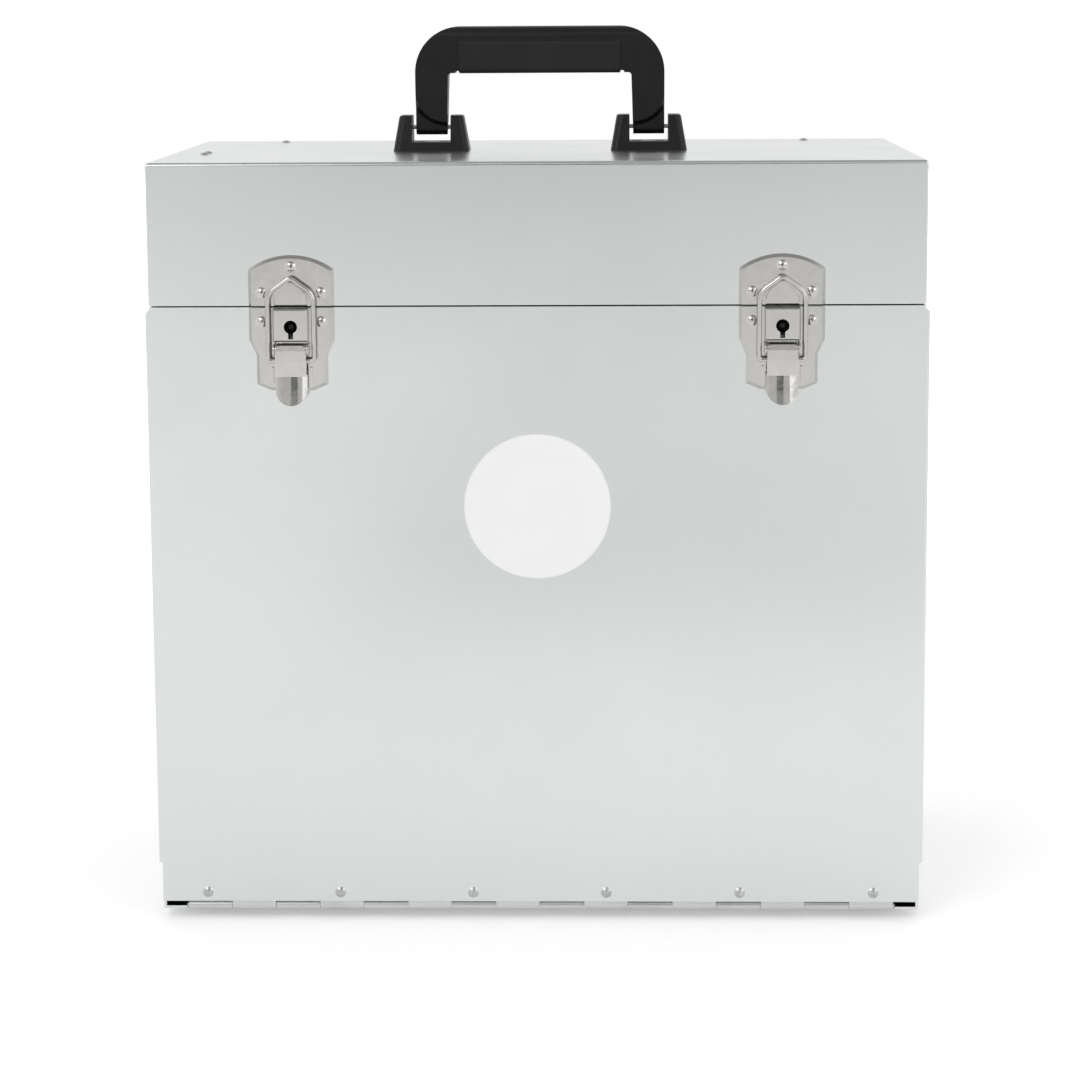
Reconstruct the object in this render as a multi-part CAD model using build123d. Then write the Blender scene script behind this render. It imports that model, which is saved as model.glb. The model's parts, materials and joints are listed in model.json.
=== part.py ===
from build123d import *
import math
import os

# Tack box of folded aluminium sheet: an open-front case with three drawers over a bay and under a top well, a drop-down
# front door on a continuous hinge, a lid on a second continuous hinge behind, two lockable draw latches
# and a folding carrying handle. Millimetres, +Z up, +Y to the back. The origin is the centre of the
# part's box on the surface that it stands on.

# Overall sizes
case_width = 435.0
case_depth = 241.0  # door face to back face
case_floor_z = 6.0  # underside of the case, which is the height of the feet
door_bottom_z = 11.0
seam_z = 355.7  # top edge of the door and of the case walls
seam_gap = 0.8
lid_height = 80.0
sheet = 1.5
bend_radius = 2.0

# Door
door_side_clearance = 0.5
door_flange_depth = 16.0
door_flange_start = 23.0  # the side flanges stop this far above the bottom edge
door_top_flange = 12.0
door_corner_chamfer = 3.5

# Continuous hinges
knuckle_length = 25.4
knuckle_count = 16
knuckle_gap = 0.3
barrel_radius = 2.8
hinge_pin_radius = 1.2
running_clearance = 0.05
press_clearance = 0.02
leaf_thickness = 1.2
leaf_height = 19.0
leaf_root = 0.7  # how far a leaf starts inside its own knuckles

# Rivets
rivet_head_radius = 3.15
rivet_head_height = 1.3
rivet_shank_radius = 1.6
rivet_tail_radius = 2.3
rivet_tail_height = 1.4
rivet_hole_radius = 1.65
hinge_rivet_count = 6
hinge_rivet_pitch = 76.6
door_rivet_height = 5.4  # above the door's bottom edge

# Drawers
drawer_heights = (50.0, 50.0, 66.0)  # top drawer first
drawer_gap = 6.0
bay_height = 96.5  # open space under the lowest drawer
drawer_front_setback = 22.0  # behind the door face
drawer_back_clearance = 6.0
drawer_sheet = 1.2
drawer_side_clearance = 0.5
pull_width = 70.0
pull_reach = 9.0
pull_height = 14.0
rail_flange = 10.0
rail_web = 12.0
rail_sheet = 1.2
rail_clearance = 0.25
shelf_sheet = 1.2
shelf_gap = 6.0
well_front_height = 42.0

# Feet
foot_radius = 10.0
foot_inset_x = 26.0
foot_inset_y = 36.0
foot_screw_radius = 1.75
foot_screw_recess = 2.5

# Latches
latch_inset = 80.5  # middle of a latch from the case's side
plate_raise = 2.0  # how far a latch plate's face stands off the sheet
plate_wall = 0.9
plate_half_width = 24.0
plate_bevel = 1.8
strike_gap = 0.1  # the strike's edge above the lid's edge
strike_side_height = 21.2
strike_rise = 8.0
strike_rivets = ((0.0, 22.8), (-16.6, 8.3), (16.6, 8.3))
base_rivets = ((-16.6, -8.0), (16.6, -8.0))
base_top = 0.2  # the latch plate's edge below the seam
base_shoulder = 18.5
base_waist = 27.0
base_waist_half_width = 20.0
base_bottom = 43.4
base_tip = 46.9
base_tip_half_width = 12.0
hook_reach = 4.4
hook_half_width = 9.6
hook_shoulder = 7.6
hook_apex = 15.7
hook_foot = 1.0
hook_bevel = 0.8
hook_wall = 1.1
wire_radius = 1.3
wire_half_width = 12.8
wire_shoulder = 37.5  # along the wire's leg, from its pivot
wire_apex = 46.7
wire_stub = 6.4
wire_corner = 1.7
wire_bow = 9.0
wire_tip = 3.0
wire_hook_reach = 6.0  # how far in front of the lid the wire passes at its apex
lever_pivot_drop = 23.3
lever_pivot_reach = 7.0
wire_pivot_drop = 29.5
wire_pivot_reach = 6.2
lever_half_width = 8.6
lever_sheet = 1.1
lever_top_drop = 20.8
lever_top_corner = 2.4
lever_knee_drop = 38.2
lever_tip_drop = 54.5
lever_top_reach = 10.2
lever_knee_reach = 8.6
lever_tip_reach = 10.9
lever_eye_radius = 2.9
tab_half_width = 8.9
tab_bulge_radius = 18.0  # across the thumb tab
latch_pin_radius = 1.4
ear_sheet = 1.0
ear_radius = 3.3
ear_inner = 8.9
ridge_inner = 10.2
ridge_width = 1.2
ridge_height = 1.8
ridge_top_drop = 33.5
ridge_end = 1.0  # from a ridge's lower end to the plate's lower corner
lock_half_width = 10.0
lock_top = 0.4
lock_bottom = 18.8
lock_reach = 7.2
lock_wall = 1.0
lock_bevel = 0.8
keyhole_drop = 10.5
keyhole_radius = 3.7
keyhole_slot = 1.4
keyhole_bottom = 17.2
plug_radius = 5.6
plug_depth = 3.2
plug_pin_radius = 1.3

# Round badge
badge_radius = 41.5
badge_thickness = 0.5
badge_drop = 113.5  # its centre below the seam

# Handle
bracket_spacing = 64.6
bracket_half_width = 22.6
bracket_top_half_width = 19.0
bracket_half_depth = 13.0
bracket_top_half_depth = 9.0
bracket_height = 21.0
bracket_slot_half_width = 11.5
bracket_corner = 4.0
bracket_edge = 1.6
bracket_floor = 5.4
handle_pivot_height = 13.9
handle_pin_radius = 1.2
handle_pin_reach = 20.0
handle_top = 73.4
grip_bottom = 46.0
leg_half_width = 9.2
leg_taper = 1.1  # how much further in a leg's inner side is at its top
leg_outer_radius = 27.0
leg_inner_radius = 2.0
foot_half_depth = 4.5
leg_half_depth = 8.1
grip_half_depth = 9.6
grip_swell_start = 28.0
grip_swell_end = 40.6
grip_corner = 6.5
leg_round_height = 36.0  # centre of the round lower end of a leg's front, above the lid
leg_round_radius = 17.8
leg_round_draft = 3.5
pad_end = 17.1  # from a bracket's middle to the pad's end
pad_notch = 1.3
pad_bottom = 45.8
pad_top = 65.8
pad_proud = 1.2
pad_skin = 2.6
pad_corner = 3.0
backing_end = 31.0  # beyond a bracket's middle
backing_half_depth = 15.0
backing_sheet = 1.6
bracket_rivet_offset = 7.0

# Rivets on the lid's top beside the handle, and what they hold
clip_rivet_inset = 21.5  # from the lid's side
clip_rivet_y = 92.0  # behind the lid's front
clip_rivet_pitch = 14.0
stiffener_rivet_inset = 53.5  # from the lid's side
stiffener_rivet_back = 18.0  # in front of the lid's back
stiffener_end_gap = 31.0  # to the lid's inner side
stiffener_web = 14.0
clip_width = 12.0
clip_drop = 16.0

# Worked out from the sizes above
half_width = case_width / 2
lid_bottom_z = seam_z + seam_gap
lid_top_z = lid_bottom_z + lid_height
front_reach = lever_tip_reach
back_reach = 2 * barrel_radius
front_y = -case_depth / 2 + (front_reach - back_reach) / 2
back_y = front_y + case_depth
mid_y = (front_y + back_y) / 2
case_front_y = front_y + sheet + door_side_clearance
inner_half = half_width - sheet
latch_x = half_width - latch_inset
clip_rivet_x = -(half_width - clip_rivet_inset)
stiffener_rivet_x = half_width - stiffener_rivet_inset
stiffener_half_length = inner_half - stiffener_end_gap
door_half = half_width + door_side_clearance + sheet
door_axis_y = front_y + sheet + barrel_radius
door_axis_z = case_floor_z - leaf_thickness + barrel_radius
lid_axis_y = back_y + barrel_radius
lid_axis_z = seam_z + seam_gap / 2
hinge_half = knuckle_length * knuckle_count / 2
case_floor_top = case_floor_z + sheet
handle_outer = bracket_spacing + leg_half_width
leg_inner_bottom = bracket_spacing - leg_half_width
leg_inner_top = leg_inner_bottom - leg_taper
pad_half_length = bracket_spacing - pad_end
backing_half_length = bracket_spacing + backing_end
drawer_half = inner_half - rail_sheet - drawer_side_clearance
drawer_front_y = front_y + drawer_front_setback
drawer_back_y = back_y - sheet - drawer_back_clearance
pivot_z = lid_top_z + handle_pivot_height


def block(x0, x1, y0, y1, z0, z1):
    """A box between two corners."""
    middle = Pos((x0 + x1) / 2, (y0 + y1) / 2, (z0 + z1) / 2)
    return middle * Box(x1 - x0, y1 - y0, z1 - z0)


def rod_x(x0, x1, y, z, radius):
    """A round bar along X."""
    return Pos((x0 + x1) / 2, y, z) * Rot(0, 90, 0) * Cylinder(radius, x1 - x0)


def rod_y(x, y0, y1, z, radius):
    """A round bar along Y."""
    return Pos(x, (y0 + y1) / 2, z) * Rot(90, 0, 0) * Cylinder(radius, y1 - y0)


def rod_z(x, y, z0, z1, radius):
    """A round bar along Z."""
    return Pos(x, y, (z0 + z1) / 2) * Cylinder(radius, z1 - z0)


def front_plane(x, y, z):
    """A plane that faces the front, with local x to the right and local y up, at that point."""
    return Plane(origin=(x, y, z), x_dir=(1, 0, 0), z_dir=(0, -1, 0))


def side_plane(x, y, z):
    """A plane that faces right, with local x to the back and local y up, at that point."""
    return Plane(origin=(x, y, z), x_dir=(0, 1, 0), z_dir=(1, 0, 0))


def joined(pieces):
    """Pieces fused into one solid."""
    first, *rest = pieces
    return first.fuse(*rest).clean() if rest else first


def group(pieces):
    """Separate solids kept apart in one compound."""
    return Compound(children=[s for p in pieces for s in p.solids()])


def rivet(grip):
    """A dome-head rivet with its head on +Z, its seat at Z 0 and its tail beyond the grip."""
    dome_radius = (rivet_head_radius**2 + rivet_head_height**2) / (2 * rivet_head_height)
    ball = Pos(0, 0, rivet_head_height - dome_radius) * Sphere(dome_radius)
    head = ball & rod_z(0, 0, 0, rivet_head_height, rivet_head_radius)
    shank = rod_z(0, 0, -grip - rivet_tail_height, 0.1, rivet_shank_radius)
    tail = rod_z(0, 0, -grip - rivet_tail_height, -grip, rivet_tail_radius)
    return joined([head, shank, tail])


def rivet_front(x, y, z, grip):
    """A rivet whose head faces the front, seated at y."""
    return Pos(x, y, z) * Rot(90, 0, 0) * rivet(grip)


def rivet_back(x, y, z, grip):
    """A rivet whose head faces the back, seated at y."""
    return Pos(x, y, z) * Rot(-90, 0, 0) * rivet(grip)


def rivet_up(x, y, z, grip):
    """A rivet whose head faces up, seated at z."""
    return Pos(x, y, z) * rivet(grip)


def rivet_down(x, y, z, grip):
    """A rivet whose head faces down, seated at z."""
    return Pos(x, y, z) * Rot(180, 0, 0) * rivet(grip)


def hinge_rivet_places():
    """X of each rivet along a continuous hinge."""
    first = -(hinge_rivet_count - 1) / 2 * hinge_rivet_pitch
    return [first + n * hinge_rivet_pitch for n in range(hinge_rivet_count)]


# Places of the rivets, shared by the rivets and by the holes that they pass through
door_rivet_z = door_bottom_z + door_rivet_height
floor_rivet_y = door_axis_y + leaf_height * 0.62
back_rivet_rise = leaf_height * 0.62
bracket_rivet_places = [
    (side * bracket_spacing + step, mid_y)
    for side in (-1, 1)
    for step in (-bracket_rivet_offset, bracket_rivet_offset)
]
clip_rivet_places = [
    (clip_rivet_x, front_y + clip_rivet_y + step)
    for step in (-clip_rivet_pitch / 2, clip_rivet_pitch / 2)
]
stiffener_rivet_y = back_y - stiffener_rivet_back
stiffener_rivet_places = [(side * stiffener_rivet_x, stiffener_rivet_y) for side in (-1, 1)]
foot_places = [
    (side * (half_width - foot_inset_x), y)
    for side in (-1, 1)
    for y in (front_y + foot_inset_y, back_y - foot_inset_y)
]


def latch_centres():
    """X of the middle of each latch, left one first."""
    return (-latch_x, latch_x)


def drawer_places():
    """(bottom, top) Z of each drawer, top drawer first."""
    places = []
    z = case_floor_top + bay_height
    for height in reversed(drawer_heights):
        places.append((z, z + height))
        z += height + drawer_gap
    return list(reversed(places))


# Case body

shelf_z = drawer_places()[0][1] + shelf_gap


def case_shell():
    """Floor, back and two sides folded from one sheet, open at the front and at the top."""
    outer = block(-half_width, half_width, case_front_y, back_y, case_floor_z, seam_z)
    upright = outer.edges().filter_by(Axis.Z).group_by(Axis.Y)[-1]
    outer = fillet(upright, bend_radius)
    inner = block(-inner_half, inner_half, case_front_y - 1, back_y - sheet, case_floor_top, seam_z + 1)
    shell = outer - inner
    shell -= block(-hinge_half - 1, hinge_half + 1, case_front_y - 1,
                   door_axis_y + barrel_radius + 0.6, case_floor_z - 1, case_floor_top + 1)
    for x in hinge_rivet_places():
        shell -= rod_z(x, floor_rivet_y, case_floor_z - 1, case_floor_top + 1, rivet_hole_radius)
        shell -= rod_y(x, back_y - sheet - 1, back_y + 1, lid_axis_z - back_rivet_rise, rivet_hole_radius)
    for x, y in foot_places:
        shell -= rod_z(x, y, case_floor_z - 1, case_floor_top + 1, foot_screw_radius + 0.1)
    return shell


def well_tray():
    """Floor of the top well, with a front wall and flanges turned down at the sides."""
    y0, y1 = drawer_front_y, back_y - sheet
    floor = block(-inner_half, inner_half, y0, y1, shelf_z, shelf_z + shelf_sheet)
    front = block(-inner_half, inner_half, y0, y0 + shelf_sheet, shelf_z, shelf_z + well_front_height)
    parts = [floor, front]
    for side in (-1, 1):
        low, high = sorted((side * inner_half, side * (inner_half - shelf_sheet)))
        parts.append(block(low, high, y0, y1, shelf_z - 4.0, shelf_z + 0.1))
    return joined(parts)


def drawer_rails():
    """An angle rail under each side of each drawer."""
    rails = []
    for bottom, _ in drawer_places():
        for side in (-1, 1):
            wall = side * inner_half
            flange_low, flange_high = sorted((wall, wall - side * rail_flange))
            web_low, web_high = sorted((wall, wall - side * rail_sheet))
            top = bottom - rail_clearance
            flange = block(flange_low, flange_high, drawer_front_y + 2, drawer_back_y,
                           top - rail_sheet, top)
            web = block(web_low, web_high, drawer_front_y + 2, drawer_back_y,
                        top - 0.1, top + rail_web)
            rails.append(joined([flange, web]))
    return group(rails)


def rubber_feet():
    """Four tapered rubber feet with a recess for their screws."""
    feet = []
    for x, y in foot_places:
        foot = Pos(x, y, case_floor_z / 2) * Rot(180, 0, 0) * Cone(foot_radius, foot_radius - 1.5, case_floor_z)
        foot -= rod_z(x, y, -1, foot_screw_recess, foot_screw_radius * 2.4)
        foot -= rod_z(x, y, 0, case_floor_z + 1, foot_screw_radius + 0.1)
        feet.append(foot)
    return group(feet)


def foot_screws():
    """A pan-head screw up through each foot, with a nut on the case floor."""
    screws = []
    for x, y in foot_places:
        head = rod_z(x, y, foot_screw_recess - 1.6, foot_screw_recess, foot_screw_radius * 2)
        slot = block(x - 2.6, x + 2.6, y - 0.35, y + 0.35, foot_screw_recess - 1.7, foot_screw_recess - 1.0)
        shank = rod_z(x, y, foot_screw_recess - 0.1, case_floor_top + 1.3, foot_screw_radius)
        nut = Pos(x, y, case_floor_top) * extrude(RegularPolygon(3.2, 6), 1.2)
        screws.append(joined([head - slot, shank, nut]))
    return group(screws)


# Continuous hinges, made lying along X about their own axis

def knuckles():
    """Every other knuckle of a hinge barrel, bored for the pin."""
    made = []
    for n in range(0, knuckle_count, 2):
        x0 = -hinge_half + n * knuckle_length + knuckle_gap / 2
        x1 = x0 + knuckle_length - knuckle_gap
        ring = rod_x(x0, x1, 0, 0, barrel_radius)
        made.append(ring - rod_x(x0 - 1, x1 + 1, 0, 0, hinge_pin_radius + running_clearance))
    return made


def hinge_leaf(rivet_distance):
    """A leaf behind the barrel, rising from the axis, with the knuckles of one hinge half."""
    near, far = barrel_radius - leaf_thickness, barrel_radius
    parts = [block(-hinge_half, hinge_half, near, far, barrel_radius + knuckle_gap, leaf_height)]
    for n in range(0, knuckle_count, 2):
        x0 = -hinge_half + n * knuckle_length + knuckle_gap / 2
        tab_top = barrel_radius + knuckle_gap + leaf_root
        parts.append(block(x0, x0 + knuckle_length - knuckle_gap, near, far, 0, tab_top))
    leaf = joined(parts + knuckles())
    for x in hinge_rivet_places():
        leaf -= rod_y(x, 0, barrel_radius + 1, rivet_distance, rivet_hole_radius)
    return leaf


def hinge_pin():
    """The wire pin, peened at both ends."""
    pin = rod_x(-hinge_half - 0.4, hinge_half + 0.4, 0, 0, hinge_pin_radius)
    heads = [rod_x(side * hinge_half + low, side * hinge_half + low + 0.8, 0, 0, barrel_radius * 0.62)
             for side, low in ((-1, -0.9), (1, 0.1))]
    return joined([pin] + heads)


def door_hinge(shape, turn):
    """A hinge piece turned and moved to the door's axis."""
    return Pos(0, door_axis_y, door_axis_z) * turn * shape


def lid_hinge(shape, turn):
    """A hinge piece turned and moved to the lid's axis."""
    return Pos(0, lid_axis_y, lid_axis_z) * turn * shape


# Door body

def door_panel():
    """Front sheet with side flanges that wrap the case, and a stiffening flange along the top."""
    bottom, top = door_bottom_z, seam_z
    start = bottom + door_flange_start
    face = block(-door_half, door_half, front_y, front_y + sheet, start, top)
    face += block(-half_width, half_width, front_y, front_y + sheet, bottom, start + 0.1)
    parts = [face]
    for side in (-1, 1):
        outer, inner = side * door_half, side * (door_half - sheet)
        low, high = sorted((outer, inner))
        flange = block(low, high, front_y, front_y + door_flange_depth, start, top)
        parts.append(flange)
    reach = inner_half - 2.0
    parts.append(block(-reach, reach, front_y, front_y + door_top_flange, top - sheet, top))
    door = joined(parts)
    for side in (-1, 1):
        corner = side * door_half
        cutter = Pos(corner, front_y + door_flange_depth / 2, top) * Rot(0, 45, 0)
        size = door_corner_chamfer * math.sqrt(2)
        door -= cutter * Box(size, door_flange_depth + 4, size)
    front_uprights = [e for e in door.edges().filter_by(Axis.Z)
                      if abs(e.center().Y - front_y) < 1e-3 and abs(abs(e.center().X) - door_half) < 1e-3]
    door = fillet(front_uprights, sheet * 0.9)
    for x in hinge_rivet_places():
        door -= rod_y(x, front_y - 1, front_y + sheet + 1, door_rivet_z, rivet_hole_radius)
    for centre in latch_centres():
        for x, z in base_rivets:
            door -= rod_y(centre + x, front_y - 1, front_y + sheet + 1, seam_z + z, rivet_hole_radius)
        door -= rod_y(centre, front_y - 1, front_y + sheet + 1, seam_z - keyhole_drop, plug_radius + 0.3)
    return door


def round_badge():
    """A plain round badge stuck on the middle of the door."""
    disc = rod_y(0, front_y - badge_thickness, front_y, seam_z - badge_drop, badge_radius)
    rim = [e for e in disc.edges() if abs(e.center().Y - front_y + badge_thickness) < 1e-3]
    return fillet(rim, badge_thickness * 0.5)


def plate_outline(points):
    """A closed outline on a front plane, from points given as (x, up)."""
    return make_face(Polyline(*points, close=True))


def pressed_plate(outline, centre):
    """A latch plate pressed from sheet: a bevelled face raised off the surface, hollow behind."""
    plane = front_plane(centre, front_y, seam_z)
    solid = extrude(plane * outline, plate_raise)
    rim = solid.edges().filter_by(
        lambda e: abs(e.center().Y - (front_y - plate_raise)) < 1e-4 and abs(e.center().Z - seam_z) > 2 * seam_gap)
    solid = chamfer(rim, plate_bevel)
    inside = offset(outline, -plate_wall - plate_bevel * 0.5)
    hollow = extrude(plane * inside, plate_raise - plate_wall)
    return solid - hollow


def strike_outline():
    """Upper latch plate: straight sides under a shallow arch."""
    w, low, high = plate_half_width, seam_gap + strike_gap, strike_side_height
    with BuildLine() as line:
        Polyline((-w, high), (-w, low), (w, low), (w, high))
        ThreePointArc((w, high), (0, high + strike_rise), (-w, high))
    return make_face(line.line)


def base_outline():
    """Lower latch plate: straight shoulders that taper in to a narrower foot."""
    w, waist, tip = plate_half_width, base_waist_half_width, base_tip_half_width
    return plate_outline([
        (-w, -base_top), (-w, -base_shoulder), (-waist, -base_waist), (-waist, -base_bottom),
        (-tip, -base_tip), (tip, -base_tip), (waist, -base_bottom), (waist, -base_waist),
        (w, -base_shoulder), (w, -base_top),
    ])


def hook_boss(centre):
    """The raised pointed boss on the strike that the wire passes over."""
    outline = plate_outline([
        (-hook_half_width, hook_foot), (hook_half_width, hook_foot),
        (hook_half_width, hook_shoulder), (0, hook_apex), (-hook_half_width, hook_shoulder),
    ])
    upper = outline.vertices().sort_by(Axis.Y)[2:4]
    outline = fillet(upper, 6.0)
    outline = fillet(outline.vertices().sort_by(Axis.Y)[-1:], 2.6)
    plane = front_plane(centre, front_y, seam_z)
    boss = extrude(plane * outline, hook_reach)
    face_edges = boss.edges().filter_by(lambda e: abs(e.center().Y - (front_y - hook_reach)) < 1e-4)
    boss = chamfer(face_edges, hook_bevel)
    core = extrude(plane * offset(outline, -hook_wall), hook_reach - hook_wall)
    return boss - core


def strike(centre):
    """Upper latch plate with its boss and rivet holes."""
    plate = pressed_plate(strike_outline(), centre)
    boss = hook_boss(centre)
    plate -= block(centre - hook_half_width + 1.5, centre + hook_half_width - 1.5,
                   front_y - plate_raise - 1, front_y + 1, seam_z + hook_foot + 1.4,
                   seam_z + hook_shoulder - 0.6)
    made = joined([plate, boss])
    for x, z in strike_rivets:
        made -= rod_y(centre + x, front_y - plate_raise - 1, front_y + 1, seam_z + z, rivet_hole_radius)
    return made


def lock_box(centre):
    """The raised lock face with its keyhole, open behind."""
    z0, z1 = seam_z - lock_bottom, seam_z - lock_top
    outer = block(centre - lock_half_width, centre + lock_half_width, front_y - lock_reach, front_y, z0, z1)
    front = outer.edges().filter_by(lambda e: abs(e.center().Y - (front_y - lock_reach)) < 1e-4)
    return chamfer(front, lock_bevel)


def latch_base(centre):
    """Lower latch plate with its lock face, keyhole, pivot ears and side ridges."""
    plate = pressed_plate(base_outline(), centre)
    axis_y, axis_z = front_y - lever_pivot_reach, seam_z - lever_pivot_drop
    parts = [plate, lock_box(centre)]
    for side in (-1, 1):
        low, high = sorted((centre + side * ear_inner, centre + side * (ear_inner + ear_sheet)))
        ear = block(low, high, axis_y, front_y - plate_raise + 0.5, axis_z - ear_radius, axis_z + ear_radius)
        parts.append(joined([ear, rod_x(low, high, axis_y, axis_z, ear_radius)]))
        low, high = sorted((centre + side * ridge_inner, centre + side * (ridge_inner + ridge_width)))
        parts.append(block(low, high, front_y - plate_raise - ridge_height, front_y - plate_raise + 0.3,
                           seam_z - base_bottom + ridge_end, seam_z - ridge_top_drop))
    made = joined(parts)
    made -= block(centre - lock_half_width + lock_wall, centre + lock_half_width - lock_wall,
                  front_y - lock_reach + lock_wall, front_y + 1,
                  seam_z - lock_bottom + lock_wall, seam_z - lock_top - lock_wall)
    made -= rod_y(centre, front_y - lock_reach - 1, front_y - lock_reach + 2,
                  seam_z - keyhole_drop, keyhole_radius)
    made -= block(centre - keyhole_slot, centre + keyhole_slot, front_y - lock_reach - 1,
                  front_y - lock_reach + 2, seam_z - keyhole_bottom, seam_z - keyhole_drop)
    made -= rod_x(centre - 12, centre + 12, axis_y, axis_z, latch_pin_radius + press_clearance)
    for x, z in base_rivets:
        made -= rod_y(centre + x, front_y - plate_raise - 1, front_y + 1, seam_z + z, rivet_hole_radius)
    return made


def lock_plug(centre):
    """The lock's barrel behind the keyhole, flanged against the back of the door, with its key post."""
    z = seam_z - keyhole_drop
    face_y = front_y - lock_reach + lock_wall + 0.3
    barrel = rod_y(centre, face_y + 1.0, front_y + sheet + plug_depth, z, plug_radius)
    flange = rod_y(centre, front_y + sheet, front_y + sheet + plug_depth, z, plug_radius + 2.0)
    well = rod_y(centre, face_y, front_y + sheet + plug_depth - 1.2, z, plug_radius - 1.2)
    post = rod_y(centre, face_y + 1.2, front_y + sheet + plug_depth, z, plug_pin_radius)
    return joined([joined([barrel, flange]) - well, post])


def latch_pin(centre):
    """Pivot of the latch lever, headed outside the ears."""
    y, z = front_y - lever_pivot_reach, seam_z - lever_pivot_drop
    return rod_x(centre - ear_inner - ear_sheet, centre + ear_inner + ear_sheet, y, z, latch_pin_radius)


def lever_profile():
    """Side view of the lever's flat upper part, as (reach in front of the door, below the seam)."""
    outer = [(lever_top_reach - 1.2, lever_top_drop), (lever_top_reach, lever_top_drop + 3.0),
             (lever_top_reach, wire_pivot_drop), (lever_knee_reach, lever_knee_drop)]
    inner = [(reach - lever_sheet, drop) for reach, drop in reversed(outer)]
    return [(-reach, -drop) for reach, drop in outer + inner]


def tab_band():
    """Cross-section of the thumb tab, its crest at the middle."""
    half, outer, inner = tab_half_width, tab_bulge_radius, tab_bulge_radius - lever_sheet
    outer_drop = outer - math.sqrt(outer**2 - half**2)
    inner_drop = outer - math.sqrt(inner**2 - half**2)
    with BuildLine() as line:
        ThreePointArc((-half, -outer_drop), (0, 0), (half, -outer_drop))
        Line((half, -outer_drop), (half, -inner_drop))
        ThreePointArc((half, -inner_drop), (0, -lever_sheet), (-half, -inner_drop))
        Line((-half, -inner_drop), (-half, -outer_drop))
    return make_face(line.line)


def thumb_tab(centre):
    """Lower part of the lever: it bulges to the front across its width, leans out and has a round end."""
    run, rise = lever_tip_drop - lever_knee_drop, lever_tip_reach - lever_knee_reach
    lean = math.atan2(rise, run)
    plane = Plane(origin=(centre, front_y - lever_knee_reach, seam_z - lever_knee_drop),
                  x_dir=(1, 0, 0), z_dir=(0, -math.sin(lean), -math.cos(lean)))
    tab = extrude(plane.offset(-lever_sheet) * tab_band(), lever_sheet + math.hypot(run, rise))
    end = front_plane(centre, front_y - 2 * lever_tip_reach, seam_z - lever_tip_drop + tab_half_width)
    half = tab_half_width
    with BuildLine() as line:
        Polyline((half, 0), (half, run), (-half, run), (-half, 0))
        ThreePointArc((-half, 0), (0, -half), (half, 0))
    return tab & extrude(end * make_face(line.line), -2 * lever_tip_reach)


def lever_skin(centre):
    """Flat upper part of the lever, its top corners rounded."""
    profile = make_face(Polyline(*lever_profile(), close=True))
    skin = extrude(side_plane(centre, front_y, seam_z) * profile, lever_half_width, both=True)
    height = lever_knee_drop - lever_top_drop
    window = Rectangle(2 * lever_half_width, height)
    window = fillet(window.vertices().group_by(Axis.Y)[-1], lever_top_corner)
    middle = front_plane(centre, front_y, seam_z - lever_top_drop - height / 2)
    return skin & extrude(middle * window, 2 * lever_tip_reach)


def latch_lever(centre):
    """Pressed lever: a skin and a thumb tab with two side walls that carry the pivot and the wire."""
    skin = lever_skin(centre).fuse(thumb_tab(centre))
    axis_y, axis_z = front_y - lever_pivot_reach, seam_z - lever_pivot_drop
    wire_y, wire_z = front_y - wire_pivot_reach, seam_z - wire_pivot_drop
    walls = []
    for side in (-1, 1):
        low, high = sorted((centre + side * lever_half_width, centre + side * (lever_half_width - lever_sheet)))
        eyes = [rod_x(low, high, axis_y, axis_z, lever_eye_radius),
                rod_x(low, high, wire_y, wire_z, lever_eye_radius)]
        web_plane = side_plane(low, 0, 0)
        reach = lever_top_reach - lever_sheet / 2
        web = make_face(Polyline(
            (axis_y + 0.6, axis_z + 1.6), (front_y - reach, axis_z + 1.6),
            (front_y - reach, wire_z - 2.0), (front_y - lever_knee_reach + lever_sheet / 2, seam_z - lever_knee_drop),
            (wire_y + 1.0, wire_z - 2.0), (wire_y + 2.0, wire_z), (axis_y + 2.2, axis_z - 1.0), close=True))
        walls.append(joined(eyes + [extrude(web_plane * web, high - low)]))
    lever = joined([skin] + walls)
    lever -= rod_x(centre - 12, centre + 12, axis_y, axis_z, latch_pin_radius + running_clearance)
    lever -= rod_x(centre - 12, centre + 12, wire_y, wire_z, wire_radius + running_clearance)
    return lever


def latch_wire(centre):
    """The wire bail: one bent wire whose ends turn in through the lever's side walls."""
    wire_y, wire_z = front_y - wire_pivot_reach, seam_z - wire_pivot_drop
    lean = math.atan2(wire_pivot_reach - wire_hook_reach, wire_apex)
    plane = Plane(origin=(centre, wire_y, wire_z), x_dir=(1, 0, 0),
                  z_dir=(0, -math.cos(lean), math.sin(lean)))
    w, end = wire_half_width, wire_half_width - wire_stub
    route = FilletPolyline(
        (-end, 0), (-w, 0), (-w, wire_shoulder), (0, wire_apex), (w, wire_shoulder), (w, 0), (end, 0),
        radius=[wire_corner, wire_bow, wire_tip, wire_bow, wire_corner])
    path = plane * route
    start = Plane(origin=path @ 0, z_dir=path % 0)
    return sweep(start * Circle(wire_radius), path=path)


# Handle and its mounting

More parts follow.
